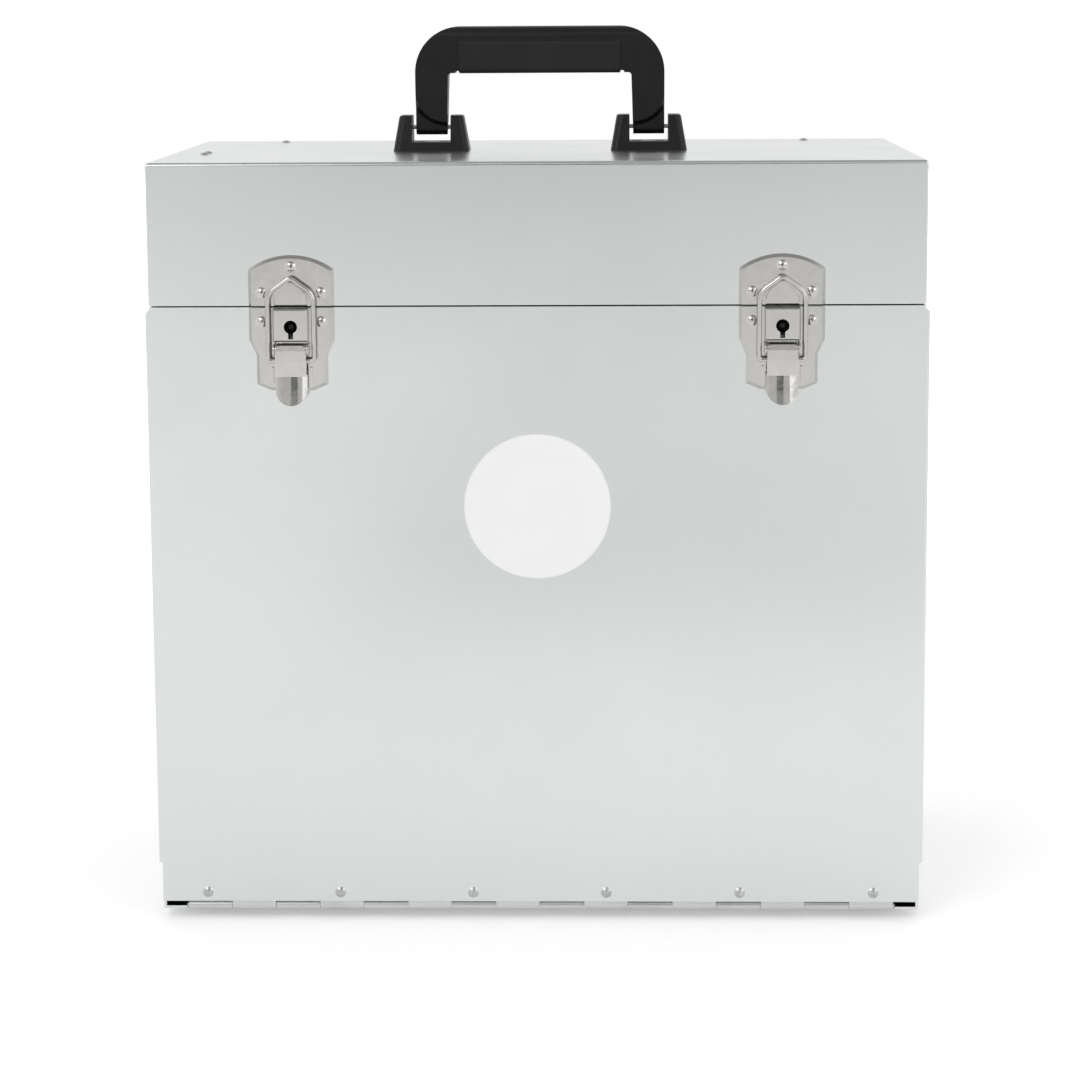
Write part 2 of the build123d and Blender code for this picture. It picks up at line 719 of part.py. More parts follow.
def handle_bracket(centre):
    """U-shaped foot whose two ears carry the handle's pin."""
    base = Plane.XY.offset(lid_top_z)
    top = Plane.XY.offset(lid_top_z + bracket_height)
    foot = loft([
        (base * Pos(centre, mid_y) * RectangleRounded(2 * bracket_half_width, 2 * bracket_half_depth, bracket_corner)),
        (top * Pos(centre, mid_y) * RectangleRounded(2 * bracket_top_half_width, 2 * bracket_top_half_depth, bracket_corner)),
    ])
    foot = fillet(foot.faces().sort_by(Axis.Z)[-1].edges(), bracket_edge)
    foot -= block(centre - bracket_slot_half_width, centre + bracket_slot_half_width,
                  mid_y - 40, mid_y + 40, lid_top_z + bracket_floor, lid_top_z + 60)
    foot -= rod_x(centre - bracket_half_width, centre + bracket_half_width, mid_y, pivot_z,
                  handle_pin_radius + press_clearance)
    for x, y in bracket_rivet_places:
        if abs(x - centre) < bracket_half_width:
            foot -= rod_z(x, y, lid_top_z - 1, lid_top_z + bracket_floor + 1, rivet_hole_radius)
            foot -= rod_z(x, y, lid_top_z + bracket_floor - 1.5, lid_top_z + bracket_floor + 1,
                          rivet_head_radius + 0.1)
    return foot


def handle_pin(centre):
    """Steel pin across a bracket's two ears."""
    return rod_x(centre - handle_pin_reach, centre + handle_pin_reach, mid_y, pivot_z, handle_pin_radius)


def bow_outline():
    """Front view of the handle, as (x, height above the lid)."""
    foot = handle_pivot_height - foot_half_depth
    with BuildLine() as line:
        FilletPolyline((handle_outer, foot), (handle_outer, handle_top), (-handle_outer, handle_top),
                       (-handle_outer, foot), radius=leg_outer_radius)
        Line((-handle_outer, foot), (-leg_inner_bottom, foot))
        FilletPolyline((-leg_inner_bottom, foot), (-leg_inner_top, grip_bottom), (leg_inner_top, grip_bottom),
                       (leg_inner_bottom, foot), radius=leg_inner_radius)
        Line((leg_inner_bottom, foot), (handle_outer, foot))
    return make_face(line.line)


def bow_side():
    """Side view of the handle: round feet at the pivot, thicker legs and a still deeper grip."""
    foot, leg, wide = foot_half_depth, leg_half_depth, grip_half_depth
    lower = handle_pivot_height
    full = lower + leg_round_draft
    with BuildLine() as line:
        ThreePointArc((-foot, lower), (0, lower - foot), (foot, lower))
        Polyline((foot, lower), (leg, full), (leg, grip_swell_start), (wide, grip_swell_end))
        FilletPolyline((wide, grip_swell_end), (wide, handle_top), (-wide, handle_top), (-wide, grip_swell_end),
                       radius=grip_corner)
        Polyline((-wide, grip_swell_end), (-leg, grip_swell_start), (-leg, full), (-foot, lower))
    return make_face(line.line)


def handle_blank():
    """The handle before the pad's recess and the bores."""
    front = extrude(front_plane(0, mid_y, lid_top_z) * bow_outline(), 2 * grip_half_depth, both=True)
    side = extrude(side_plane(0, mid_y, lid_top_z) * bow_side(), handle_outer + 5, both=True)
    return front & side


def leg_waste(side, face):
    """What is cut from a leg's front or back face below its round lower end, down to the thinner foot."""
    x, z = side * leg_inner_bottom, lid_top_z + leg_round_height
    depth = grip_half_depth - foot_half_depth
    y = mid_y + face * (foot_half_depth + depth / 2)
    keep = Pos(x, y, z) * Rot(-90 * face, 0, 0) * Cone(leg_round_radius + leg_round_draft, leg_round_radius, depth)
    low, high = sorted((x - side * leg_taper, side * (handle_outer + 1)))
    return block(low, high, y - depth / 2, y + depth / 2, lid_top_z, z) - keep


def handle_bow():
    """Moulded handle: two legs and a grip with a recess for its pad."""
    bow = handle_blank()
    bow -= pad_envelope() - pad_core()
    for side in (-1, 1):
        for face in (-1, 1):
            bow -= leg_waste(side, face)
        end = side * (pad_half_length + pad_notch)
        bow -= rod_y(end, mid_y - 2 * grip_half_depth, mid_y + 2 * grip_half_depth, lid_top_z + grip_bottom, pad_notch)
        bow -= rod_x(side * bracket_spacing - bracket_half_width, side * bracket_spacing + bracket_half_width,
                     mid_y, pivot_z, handle_pin_radius + running_clearance)
    return bow


def pad_envelope():
    """Outer block of the grip pad."""
    half = grip_half_depth + pad_proud
    body = block(-pad_half_length, pad_half_length, mid_y - half, mid_y + half,
                 lid_top_z + pad_bottom, lid_top_z + pad_top)
    return fillet(body.edges().filter_by(Axis.X), pad_corner)


def pad_core():
    """What is left of the grip inside its pad."""
    half = grip_half_depth + pad_proud - pad_skin
    return block(-pad_half_length - 1, pad_half_length + 1, mid_y - half, mid_y + half,
                 lid_top_z + pad_bottom + pad_skin, lid_top_z + pad_top + 1)


def grip_pad():
    """Soft channel-shaped pad pressed over the lower part of the grip."""
    return pad_envelope() - pad_core()


def handle_backing_plate():
    """Strip inside the lid that spreads the handle's load."""
    plate = block(-backing_half_length, backing_half_length, mid_y - backing_half_depth,
                  mid_y + backing_half_depth, lid_top_z - sheet - backing_sheet, lid_top_z - sheet)
    for x, y in bracket_rivet_places:
        plate -= rod_z(x, y, lid_top_z - 10, lid_top_z, rivet_hole_radius)
    return plate


# Lid body

def lid_shell():
    """Lid folded from one sheet, open below."""
    outer = block(-half_width, half_width, front_y, back_y, lid_bottom_z, lid_top_z)
    outer = fillet(outer.edges().filter_by(Axis.Z), 1.0)
    outer = fillet(outer.faces().sort_by(Axis.Z)[-1].edges(), bend_radius)
    inner = block(-inner_half, inner_half, front_y + sheet, back_y - sheet, lid_bottom_z - 1, lid_top_z - sheet)
    shell = outer - inner
    for x, y in bracket_rivet_places + clip_rivet_places + stiffener_rivet_places:
        shell -= rod_z(x, y, lid_top_z - 5, lid_top_z + 5, rivet_hole_radius)
    for x in hinge_rivet_places():
        shell -= rod_y(x, back_y - sheet - 1, back_y + 1, lid_axis_z + back_rivet_rise, rivet_hole_radius)
    for centre in latch_centres():
        for x, z in strike_rivets:
            shell -= rod_y(centre + x, front_y - 1, front_y + sheet + 1, seam_z + z, rivet_hole_radius)
    return shell


def lid_stiffener():
    """Angle under the back of the lid's top."""
    under = lid_top_z - sheet
    y0 = stiffener_rivet_y - stiffener_web / 2
    flat = block(-stiffener_half_length, stiffener_half_length, y0, y0 + stiffener_web, under - sheet, under)
    web = block(-stiffener_half_length, stiffener_half_length, y0, y0 + sheet, under - stiffener_web, under - 0.1)
    angle = joined([flat, web])
    for x, y in stiffener_rivet_places:
        angle -= rod_z(x, y, under - 10, under + 1, rivet_hole_radius)
    return angle


def card_clip():
    """Spring clip under the lid's top that the pair of rivets at the left holds."""
    under = lid_top_z - sheet
    ys = [y for _, y in clip_rivet_places]
    y0, y1 = min(ys) - 8.0, max(ys) + 8.0
    half = clip_width / 2
    flat = block(clip_rivet_x - half, clip_rivet_x + half, y0, y1, under - 1.0, under)
    arm = block(clip_rivet_x - half, clip_rivet_x + half, y0, y0 + 1.0, under - clip_drop, under - 0.1)
    lip = block(clip_rivet_x - half, clip_rivet_x + half, y0, y0 + 26.0, under - clip_drop - 1.0, under - clip_drop)
    clip = joined([flat, arm, lip])
    for x, y in clip_rivet_places:
        clip -= rod_z(x, y, under - 5, under + 1, rivet_hole_radius)
    return clip


# Rivets, grouped by what they hold

def door_hinge_rivets():
    """Rivets through the door and the door's hinge leaf."""
    return group([rivet_front(x, front_y, door_rivet_z, sheet + leaf_thickness) for x in hinge_rivet_places()])


def floor_hinge_rivets():
    """Rivets through the case's hinge leaf and the case floor."""
    leaf_low = case_floor_z - leaf_thickness
    return group([rivet_down(x, floor_rivet_y, leaf_low, sheet + leaf_thickness) for x in hinge_rivet_places()])


def back_hinge_rivets(rise):
    """Rivets through a back leaf and the back sheet, at a height from the axis."""
    seat = back_y + leaf_thickness
    return group([rivet_back(x, seat, lid_axis_z + rise, sheet + leaf_thickness) for x in hinge_rivet_places()])


def latch_rivets(places):
    """Rivets through the latch plates and the sheet behind them."""
    seat = front_y - plate_raise
    return group([
        rivet_front(centre + x, seat, seam_z + z, sheet + plate_raise)
        for centre in latch_centres() for x, z in places
    ])


def bracket_rivets():
    """Rivets that hold the handle brackets and the backing plate to the lid."""
    seat = bracket_floor - 1.5
    grip = seat + sheet + backing_sheet
    return group([rivet_up(x, y, lid_top_z + seat, grip) for x, y in bracket_rivet_places])


def lid_top_rivets():
    """Rivets seen on the lid's top beside the handle."""
    return group(
        [rivet_up(x, y, lid_top_z, sheet + 1.0) for x, y in clip_rivet_places]
        + [rivet_up(x, y, lid_top_z, sheet + sheet) for x, y in stiffener_rivet_places])


# Drawers

def drawer_pan(bottom, top):
    """Open folded pan, its front drilled for the pull."""
    outer = block(-drawer_half, drawer_half, drawer_front_y, drawer_back_y, bottom, top)
    outer = fillet(outer.edges().filter_by(Axis.Z), bend_radius)
    inner = block(-drawer_half + drawer_sheet, drawer_half - drawer_sheet, drawer_front_y + drawer_sheet,
                  drawer_back_y - drawer_sheet, bottom + drawer_sheet, top + 1)
    pan = outer - inner
    for side in (-1, 1):
        for z in pull_rivet_heights(bottom, top):
            pan -= rod_y(side * pull_width * 0.32, drawer_front_y - 1, drawer_front_y + 3, z, rivet_hole_radius)
    return pan


def pull_rivet_heights(bottom, top):
    """Height of the rivets that hold a drawer's pull."""
    return [(bottom + top) / 2 + pull_height / 2 - 5.0]


def drawer_pull(bottom, top):
    """Folded finger pull on a drawer's front."""
    middle = (bottom + top) / 2
    high, low = middle + pull_height / 2, middle - pull_height / 2
    half = pull_width / 2
    back = block(-half, half, drawer_front_y - 1.0, drawer_front_y, low + 2, high)
    shelf_part = block(-half, half, drawer_front_y - pull_reach, drawer_front_y - 0.9, high - 1.0, high)
    lip = block(-half, half, drawer_front_y - pull_reach, drawer_front_y - pull_reach + 1.0, high - 7.0, high - 0.9)
    pull = joined([back, shelf_part, lip])
    for side in (-1, 1):
        for z in pull_rivet_heights(bottom, top):
            pull -= rod_y(side * pull_width * 0.32, drawer_front_y - 2, drawer_front_y + 1, z, rivet_hole_radius)
    return pull


def pull_rivets(bottom, top):
    """The two rivets of one pull."""
    return group([
        rivet_front(side * pull_width * 0.32, drawer_front_y - 1.0, z, drawer_sheet + 1.0)
        for side in (-1, 1) for z in pull_rivet_heights(bottom, top)
    ])


def all_nodes():
    """Every named piece."""
    nodes = {
        "case_shell": case_shell(),
        "well_tray": well_tray(),
        "drawer_rails": drawer_rails(),
        "rubber_feet": rubber_feet(),
        "foot_screws": foot_screws(),
        "door_hinge_case_leaf": door_hinge(hinge_leaf(floor_rivet_y - door_axis_y), Rot(-90, 0, 0)),
        "door_hinge_door_leaf": door_hinge(hinge_leaf(door_rivet_z - door_axis_z), Rot(0, 0, 180)),
        "door_hinge_pin": door_hinge(hinge_pin(), Rot(0, 0, 0)),
        "floor_hinge_rivets": floor_hinge_rivets(),
        "door_hinge_rivets": door_hinge_rivets(),
        "lid_hinge_case_leaf": lid_hinge(hinge_leaf(back_rivet_rise), Rot(180, 0, 0)),
        "lid_hinge_lid_leaf": lid_hinge(hinge_leaf(back_rivet_rise), Rot(0, 0, 180)),
        "lid_hinge_pin": lid_hinge(hinge_pin(), Rot(0, 0, 0)),
        "lid_hinge_lid_rivets": back_hinge_rivets(back_rivet_rise),
        "lid_hinge_case_rivets": back_hinge_rivets(-back_rivet_rise),
        "door_panel": door_panel(),
        "round_badge": round_badge(),
        "lid_shell": lid_shell(),
        "lid_stiffener": lid_stiffener(),
        "lid_card_clip": card_clip(),
        "lid_top_rivets": lid_top_rivets(),
        "handle_backing_plate": handle_backing_plate(),
        "handle_bracket_rivets": bracket_rivets(),
        "handle_bow": handle_bow(),
        "grip_pad": grip_pad(),
        "strike_rivets": latch_rivets(strike_rivets),
        "latch_base_rivets": latch_rivets(base_rivets),
    }
    for side, centre in zip(("left", "right"), latch_centres()):
        nodes[f"{side}_strike"] = strike(centre)
        nodes[f"{side}_latch_base"] = latch_base(centre)
        nodes[f"{side}_lock_plug"] = lock_plug(centre)
        nodes[f"{side}_latch_pin"] = latch_pin(centre)
        nodes[f"{side}_latch_lever"] = latch_lever(centre)
        nodes[f"{side}_latch_wire"] = latch_wire(centre)
    for side, centre in (("left", -bracket_spacing), ("right", bracket_spacing)):
        nodes[f"{side}_handle_bracket"] = handle_bracket(centre)
        nodes[f"{side}_handle_pin"] = handle_pin(centre)
    for number, (bottom, top) in enumerate(drawer_places(), 1):
        nodes[f"drawer_{number}_pan"] = drawer_pan(bottom, top)
        nodes[f"drawer_{number}_pull"] = drawer_pull(bottom, top)
        nodes[f"drawer_{number}_rivets"] = pull_rivets(bottom, top)
    return nodes


os.makedirs("parts", exist_ok=True)
for node, shape in all_nodes().items():
    export_step(shape, f"parts/{node}.step")
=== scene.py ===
import json
import math

import bpy
from mathutils import Matrix, Vector


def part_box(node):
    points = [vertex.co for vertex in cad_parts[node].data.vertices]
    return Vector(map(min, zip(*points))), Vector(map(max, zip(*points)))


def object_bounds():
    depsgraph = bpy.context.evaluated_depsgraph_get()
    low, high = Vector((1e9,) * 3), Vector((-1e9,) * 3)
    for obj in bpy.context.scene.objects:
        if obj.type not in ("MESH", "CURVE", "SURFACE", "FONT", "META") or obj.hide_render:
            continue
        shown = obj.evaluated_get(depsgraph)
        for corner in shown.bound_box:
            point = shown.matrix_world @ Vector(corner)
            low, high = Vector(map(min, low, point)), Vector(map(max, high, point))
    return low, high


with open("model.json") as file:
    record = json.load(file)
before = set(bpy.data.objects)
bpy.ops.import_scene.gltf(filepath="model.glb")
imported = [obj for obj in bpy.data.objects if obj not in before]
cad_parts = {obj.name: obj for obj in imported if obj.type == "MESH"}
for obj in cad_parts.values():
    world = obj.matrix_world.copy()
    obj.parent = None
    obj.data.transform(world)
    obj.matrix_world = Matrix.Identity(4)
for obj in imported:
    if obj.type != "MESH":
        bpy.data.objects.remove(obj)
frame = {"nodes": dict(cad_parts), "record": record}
cad_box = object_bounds()
nodes = frame["nodes"]
MM = 0.001


# Camera

CAMERA_PLACE = (0.039, -1.65, 0.524)
CAMERA_PITCH, CAMERA_YAW, CAMERA_ROLL = 8.21, -1.35, -0.33  # degrees: down, to the right, anticlockwise
PICTURE = 1080.0
FOCAL_PIXELS = 2760.0
PRINCIPAL_POINT = (542.0, 400.0)
SENSOR = 36.0
NEAR_CLIP, FAR_CLIP = 0.05, 50


def make_camera():
    """A camera at the photograph's place, with a small vertical shift."""
    pitch, yaw, roll = (math.radians(a) for a in (CAMERA_PITCH, CAMERA_YAW, CAMERA_ROLL))
    ahead = Vector((math.sin(yaw) * math.cos(pitch), math.cos(yaw) * math.cos(pitch), -math.sin(pitch)))
    level = Vector((math.cos(yaw), -math.sin(yaw), 0))
    upright = level.cross(ahead)
    right = math.cos(roll) * level + math.sin(roll) * upright
    up = -math.sin(roll) * level + math.cos(roll) * upright
    data = bpy.data.cameras.new("camera")
    data.sensor_width = SENSOR
    data.lens = FOCAL_PIXELS / PICTURE * SENSOR
    data.shift_x = (PICTURE / 2 - PRINCIPAL_POINT[0]) / PICTURE
    data.shift_y = (PRINCIPAL_POINT[1] - PICTURE / 2) / PICTURE
    data.clip_start = NEAR_CLIP
    data.clip_end = FAR_CLIP
    camera = bpy.data.objects.new("camera", data)
    turn = Matrix((right, up, -ahead)).transposed()
    camera.matrix_world = Matrix.Translation(CAMERA_PLACE) @ turn.to_4x4()
    bpy.context.scene.collection.objects.link(camera)
    bpy.context.scene.camera = camera


# Node helpers


def maths(tree, kind, first, second):
    """The result of a maths node on two outputs or numbers."""
    made = tree.nodes.new("ShaderNodeMath")
    made.operation = kind
    for socket, value in zip(made.inputs, (first, second)):
        if isinstance(value, (int, float)):
            socket.default_value = value
        else:
            tree.links.new(value, socket)
    return made.outputs["Value"]


def ramp(tree, value, start, end, low, high):
    """A value remapped from start..end to low..high."""
    made = tree.nodes.new("ShaderNodeMapRange")
    made.inputs["From Min"].default_value = start
    made.inputs["From Max"].default_value = end
    made.inputs["To Min"].default_value = low
    made.inputs["To Max"].default_value = high
    tree.links.new(value, made.inputs["Value"])
    return made.outputs["Result"]


def scaled(colour, factor):
    """A colour made lighter or darker, at most white."""
    return tuple(min(1.0, c * factor) for c in colour)


class Recipe:
    """A node material with short calls for the nodes that these finishes share."""

    def __init__(self, name):
        self.material = bpy.data.materials.new(name)
        self.material.use_nodes = True
        self.tree = self.material.node_tree
        self.shader = self.tree.nodes["Principled BSDF"]
        self.place = self.node("ShaderNodeTexCoord").outputs["Object"]

    def node(self, kind, **settings):
        made = self.tree.nodes.new(kind)
        for key, value in settings.items():
            setattr(made, key, value)
        return made

    def link(self, source, target):
        self.tree.links.new(source, target)

    def stretched(self, scale):
        """Object coordinates multiplied by a vector."""
        mapping = self.node("ShaderNodeMapping")
        mapping.inputs["Scale"].default_value = scale
        self.link(self.place, mapping.inputs["Vector"])
        return mapping.outputs["Vector"]

    def noise(self, scale, detail=3.0, rough=0.5, vector=None):
        made = self.node("ShaderNodeTexNoise")
        made.inputs["Scale"].default_value = scale
        made.inputs["Detail"].default_value = detail
        made.inputs["Roughness"].default_value = rough
        self.link(vector or self.place, made.inputs["Vector"])
        return made.outputs["Fac"]

    def spread(self, value, low, high, start=0.3, end=0.7):
        """A value remapped from start..end to low..high."""
        return ramp(self.tree, value, start, end, low, high)

    def between(self, factor, first, second):
        """A colour between two colours or colour outputs."""
        made = self.node("ShaderNodeMix", data_type="RGBA")
        self.link(factor, made.inputs["Factor"])
        for name, colour in (("A", first), ("B", second)):
            socket = next(s for s in made.inputs if s.name == name and s.type == "RGBA")
            if isinstance(colour, tuple):
                socket.default_value = (*colour, 1.0)
            else:
                self.link(colour, socket)
        return next(s for s in made.outputs if s.type == "RGBA")

    def maths(self, kind, first, second):
        return maths(self.tree, kind, first, second)

    def edges(self, radius):
        """About 0 on flat areas and up to 1 where the surface turns within the radius."""
        bevel = self.node("ShaderNodeBevel", samples=4)
        bevel.inputs["Radius"].default_value = radius
        true = self.node("ShaderNodeNewGeometry").outputs["Normal"]
        alike = self.node("ShaderNodeVectorMath", operation="DOT_PRODUCT")
        self.link(bevel.outputs["Normal"], alike.inputs[0])
        self.link(true, alike.inputs[1])
        return self.spread(alike.outputs["Value"], 1.0, 0.0, 0.7, 0.98)

    def bumps(self, *layers, edge=0.0):
        """Bump layers, each (height output, strength, distance), chained on a normal rounded by the edge radius."""
        last = None
        if edge:
            rounded = self.node("ShaderNodeBevel", samples=6)
            rounded.inputs["Radius"].default_value = edge
            last = rounded.outputs["Normal"]
        for height, strength, distance in layers:
            bump = self.node("ShaderNodeBump")
            bump.inputs["Strength"].default_value = strength
            bump.inputs["Distance"].default_value = distance
            self.link(height, bump.inputs["Height"])
            if last:
                self.link(last, bump.inputs["Normal"])
            last = bump.outputs["Normal"]
        self.link(last, self.shader.inputs["Normal"])

    def colour(self, output):
        self.link(output, self.shader.inputs["Base Color"])

    def rough(self, output):
        self.link(output, self.shader.inputs["Roughness"])

    def plain(self, **values):
        for key, value in values.items():
            self.shader.inputs[key.replace("_", " ")].default_value = value


def sheet_metal(name, light, dark, low, high, wave):
    """Smooth rolled aluminium sheet with handling marks and a gentle waviness, faint clouding in its colour that
    paints soft reflections, and painted highlights along its edges.
    """
    r = Recipe(name)
    r.plain(Metallic=1.0)
    # Painted reflection: soft clouds of darker and lighter colour stand in for the blurred reflections on the
    # sheet.
    reflection_clouds = r.spread(r.noise(3.2, 2.0, 0.45), 0.0, 1.0, 0.32, 0.68)
    tone = r.between(reflection_clouds, dark, light)
    scuffs = r.spread(r.noise(1.0, 4.0, 0.6, r.stretched((9.0, 9.0, 160.0))), 0.0, 0.35, 0.62, 0.78)
    worn = r.between(scuffs, tone, scaled(light, 0.94))
    # Painted highlight: the colour turns lighter along rounded edges, where light would catch.
    painted_highlight_colour = r.between(r.edges(0.0009), worn, scaled(light, 1.12))
    r.colour(painted_highlight_colour)
    grain = r.noise(900.0, 3.0, 0.6)
    haze = r.noise(14.0, 3.0, 0.55)
    mixed = r.maths("ADD", r.maths("MULTIPLY", grain, 0.35), r.maths("MULTIPLY", haze, 0.65))
    r.rough(r.spread(mixed, low, high, 0.35, 0.65))
    r.bumps((r.noise(5.0, 1.0, 0.4), 1.0, wave), (grain, 0.12, 0.00002), edge=0.0005)
    return r.material


def mill_metal(name, light, dark, low, high, stretch):
    """Plain mill-finish metal with fine rolling lines and painted highlights along its edges."""
    r = Recipe(name)
    r.plain(Metallic=1.0)
    lines = r.noise(1.0, 5.0, 0.65, r.stretched(stretch))
    tone = r.between(r.spread(lines, 0.0, 1.0), dark, light)
    stains = r.spread(r.noise(22.0, 4.0, 0.6), 0.0, 0.5, 0.55, 0.75)
    tone = r.between(stains, tone, scaled(dark, 0.85))
    # Painted highlight: lighter colour along rounded edges.
    r.colour(r.between(r.edges(0.0006), tone, scaled(light, 1.1)))
    r.rough(r.spread(lines, low, high))
    r.bumps((lines, 0.25, 0.00003), (r.noise(9.0, 2.0), 0.6, 0.0004))
    return r.material


def plated(name, light, dark, low, high):
    """Bright nickel plating over pressed steel, with faint orange peel, dull spots and painted highlights along its
    edges.
    """
    r = Recipe(name)
    r.plain(Metallic=1.0)
    haze = r.noise(160.0, 4.0, 0.6)
    tone = r.between(r.spread(haze, 0.0, 1.0), dark, light)
    specks = r.spread(r.noise(900.0, 2.0, 0.5), 0.0, 0.5, 0.68, 0.76)
    tone = r.between(specks, tone, scaled(dark, 0.7))
    # Painted highlight: much lighter colour along rounded edges, standing in for bright bevel glints.
    r.colour(r.between(r.edges(0.0004), tone, scaled(light, 1.3)))
    r.rough(r.spread(haze, low, high))
    r.bumps((r.noise(260.0, 2.0), 0.35, 0.00008), (r.noise(2200.0, 2.0), 0.08, 0.00001))
    return r.material


def moulded(name, base, worn, low, high, grain_scale, grain_depth):
    """Black moulded plastic or rubber with a fine spark-eroded grain and rubbed edges."""
    r = Recipe(name)
    r.plain(Specular_IOR_Level=0.3)
    cells = r.node("ShaderNodeTexVoronoi")
    cells.inputs["Scale"].default_value = grain_scale
    r.link(r.place, cells.inputs["Vector"])
    dust = r.spread(r.noise(60.0, 5.0, 0.65), 0.0, 1.0, 0.45, 0.75)
    tone = r.between(dust, base, scaled(base, 1.45))
    r.colour(r.between(r.edges(0.0008), tone, worn))
    r.rough(r.spread(r.noise(120.0, 4.0, 0.6), low, high))
    r.bumps((cells.outputs["Distance"], 0.5, grain_depth), (r.noise(30.0, 2.0), 0.4, 0.0001))
    return r.material


BADGE_RIM = 0.9 * MM


def vinyl(name):
    """A plain white vinyl badge with a slightly darker rim."""
    r = Recipe(name)
    r.plain(Specular_IOR_Level=0.5, Coat_Weight=0.35, Coat_Roughness=0.12)
    place = r.node("ShaderNodeSeparateXYZ")
    r.link(r.place, place.inputs["Vector"])
    low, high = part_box("round_badge")
    middle = (low + high) / 2
    across = r.maths("SUBTRACT", place.outputs["X"], middle.x)
    upward = r.maths("SUBTRACT", place.outputs["Z"], middle.z)
    square = r.maths("ADD", r.maths("MULTIPLY", across, across), r.maths("MULTIPLY", upward, upward))
    radius = r.maths("SQRT", square, 0.0)
    edge = (high.x - low.x) / 2
    rim = r.spread(radius, 0.0, 1.0, edge - BADGE_RIM, edge)
    film = r.between(r.spread(r.noise(70.0, 4.0), 0.0, 1.0), (0.9, 0.905, 0.905), (0.93, 0.93, 0.93))
    r.colour(r.between(rim, film, (0.8, 0.805, 0.8)))
    r.rough(r.spread(r.noise(220.0, 3.0), 0.32, 0.42))
    r.bumps((r.noise(420.0, 2.0), 0.25, 0.00003), (r.noise(25.0, 2.0), 0.5, 0.0001))
    return r.material


def make_materials():
    """Every finish, under the record's slot names, plus a near-black one that paints the shade inside the keyholes.
    """
    return {
        "body_sheet": sheet_metal("body_sheet", (0.755, 0.778, 0.768), (0.715, 0.738, 0.73), 0.2, 0.27,
                                  0.0004),
        "inner_sheet": mill_metal("inner_sheet", (0.72, 0.735, 0.735), (0.6, 0.615, 0.62), 0.3, 0.45,
                                  (3.0, 500.0, 500.0)),
        "hinge_aluminium": mill_metal("hinge_aluminium", (0.72, 0.73, 0.72), (0.6, 0.61, 0.6), 0.22, 0.36,
                                      (6.0, 900.0, 900.0)),
        "rivet_aluminium": mill_metal("rivet_aluminium", (0.62, 0.63, 0.62), (0.45, 0.46, 0.45), 0.25, 0.42,
                                      (300.0, 300.0, 300.0)),
        "nickel_plate": plated("nickel_plate", (0.6, 0.59, 0.57), (0.53, 0.52, 0.5), 0.09, 0.17),
        "steel": mill_metal("steel", (0.6, 0.6, 0.6), (0.42, 0.42, 0.42), 0.25, 0.4, (900.0, 60.0, 60.0)),
        "handle_plastic": moulded("handle_plastic", (0.0045, 0.005, 0.005), (0.014, 0.015, 0.015), 0.34, 0.46,
                                  1400.0, 0.00004),
        "grip_rubber": moulded("grip_rubber", (0.008, 0.0088, 0.0086), (0.018, 0.019, 0.019), 0.5, 0.62,
                               900.0, 0.00006),
        "foot_rubber": moulded("foot_rubber", (0.016, 0.016, 0.016), (0.04, 0.04, 0.04), 0.6, 0.75,
                               900.0, 0.00005),
        "badge": vinyl("badge"),
        # Painted shade: a near-black finish for the lock plugs, standing in for the shade deep inside the keyholes.
        "lock_painted_shade": moulded("lock_painted_shade", (0.006, 0.006, 0.006), (0.02, 0.02, 0.02), 0.5, 0.7, 700.0, 0.00003),
    }


# The lock plugs, painted near-black as the shade inside the keyholes.
SHADE_PAINTED_NODES = ("left_lock_plug", "right_lock_plug")


def dress_nodes(materials):
    """Each CAD node gets its slot's finish, and the lock plugs a near-black one that paints the shade inside the
    keyholes.
    """
    for row in frame["record"]["subparts"]:
        node = nodes[row["node"]]
        node.data.materials.clear()
        finish = "lock_painted_shade" if row["node"] in SHADE_PAINTED_NODES else row["material_slot"]
        node.data.materials.append(materials[finish])


# Bevel width in millimetres and segments
SOFT_EDGES = {
    "handle_bow": (0.9, 3),
    "grip_pad": (0.8, 3),
    "left_handle_bracket": (0.9, 3),
    "right_handle_bracket": (0.9, 3),
    "drawer_1_pull": (0.25, 2),
    "drawer_2_pull": (0.25, 2),
    "drawer_3_pull": (0.25, 2),
    "left_strike": (0.25, 2),
    "right_strike": (0.25, 2),
    "left_latch_base": (0.25, 2),
    "right_latch_base": (0.25, 2),
    "left_latch_lever": (0.4, 3),
    "right_latch_lever": (0.4, 3),
}
WELD_DISTANCE = 0.01 * MM
SHARP_ANGLE = 28  # degrees


def soften(node, width, segments):
    """Rounds a CAD node's sharp edges with modifiers, with its mesh left as it is."""
    weld = node.modifiers.new("weld", "WELD")
    weld.merge_threshold = WELD_DISTANCE
    bevel = node.modifiers.new("edges", "BEVEL")
    bevel.width = width * MM
    bevel.segments = segments
    bevel.limit_method = "ANGLE"
    bevel.angle_limit = math.radians(SHARP_ANGLE)
    smooth = node.modifiers.new("normals", "WEIGHTED_NORMAL")
    smooth.keep_sharp = True


def soften_nodes():
    for name, (width, segments) in SOFT_EDGES.items():
        soften(nodes[name], width, segments)


# Stage and light

FLOOR_HALF = 7.0
FLOOR_GAP = 0.2 * MM  # under the feet
FLOOR_TONE = 0.8
FLOOR_LIFT = 0.3
FLOOR_MIRROR = 0.2
FADE_START, FADE_END = 0.4, 2.2
ROOM_LIGHT = 0.72
ROOM_FRONT, ROOM_SIDE, ROOM_BACK, ROOM_TOP = 0.7, 1.12, 0.93, 0.35
# Where the room turns from one tone to the next, as parts of a ray's direction
FRONT_TURN, BACK_TURN, TOP_TURN = (-0.75, -0.2), (0.5, 0.95), (0.55, 0.9)


